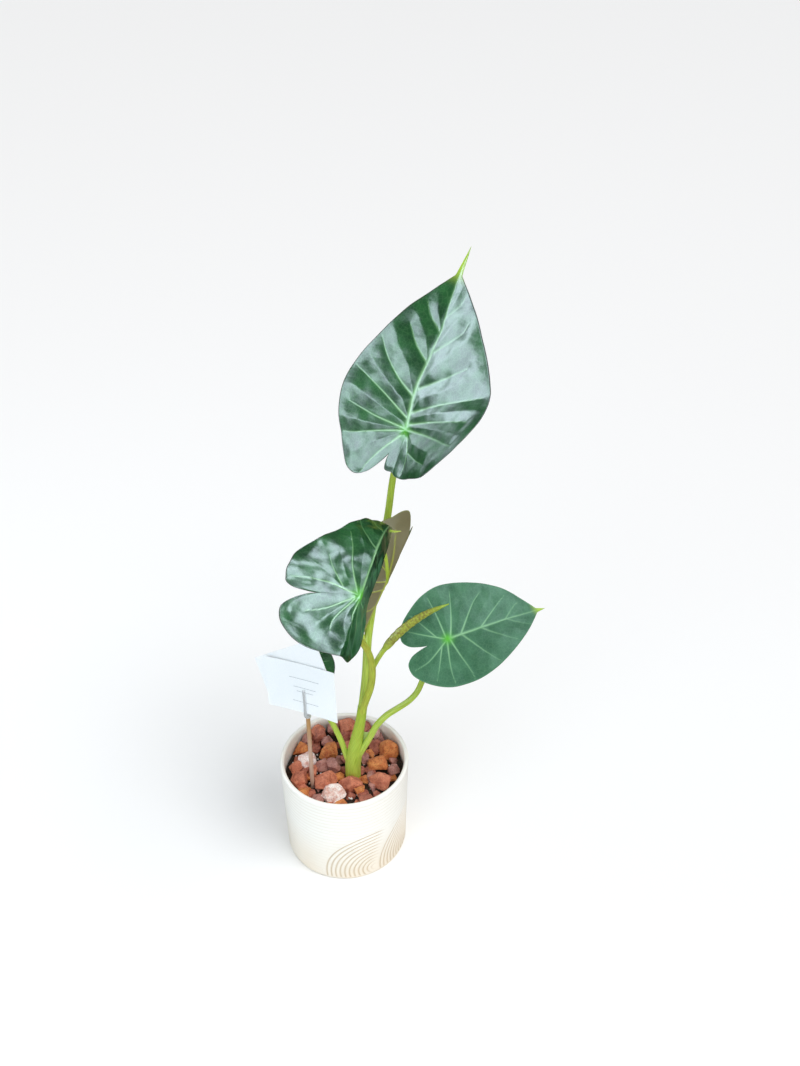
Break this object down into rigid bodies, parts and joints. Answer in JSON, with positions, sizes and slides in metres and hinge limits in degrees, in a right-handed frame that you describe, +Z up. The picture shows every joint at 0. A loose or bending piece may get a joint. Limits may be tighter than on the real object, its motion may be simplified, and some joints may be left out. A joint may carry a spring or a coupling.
{
  "type": "potted alocasia",
  "caption": "Potted alocasia with arrow-shaped leaves on long stalks, in a round combed stoneware pot with lava chip mulch and blank cards clipped to a stake.",
  "frame": {"origin": "middle of the flat underside of the pot", "axes": "+Z up along the pot's axis; the plant is seen from -Y, with +X to the right"},
  "size_m": [0.3025, 0.3116, 0.638],
  "materials": {
    "glazed_stoneware": "matte cream glaze over fine combed rings",
    "potting_soil": "damp crumbly potting soil with white perlite grains",
    "lava_chips": "rough porous lava rock, red-brown to mauve",
    "green_stem": "smooth fresh yellow-green plant stem",
    "olive_stem": "smooth olive plant stem",
    "dark_leaf": "waxy dark green leaf with pale veins",
    "satin_leaf": "satin mid-green leaf with pale veins",
    "brown_leaf": "purple-brown leaf underside with yellow-green veins",
    "bamboo": "plain bamboo",
    "clear_plastic": "clear hard plastic",
    "card": "smooth white card"
  },
  "bodies": {
    "root": {"pot": "glazed_stoneware", "soil": "potting_soil", "lava_gravel": "lava_chips", "crown": "green_stem", "leaf_1_stalk": "green_stem", "leaf_1_blade": "dark_leaf", "leaf_2_stalk": "olive_stem", "leaf_2_blade": "dark_leaf", "leaf_3_stalk": "green_stem", "leaf_3_blade": "satin_leaf", "leaf_4_stalk": "green_stem", "leaf_4_blade": "dark_leaf", "leaf_5_stalk": "green_stem", "leaf_5_blade": "brown_leaf", "rolled_leaf": "olive_stem", "stake": "bamboo", "card_front": "card", "card_back": "card", "clip": "clear_plastic"}
  },
  "joints": []
}
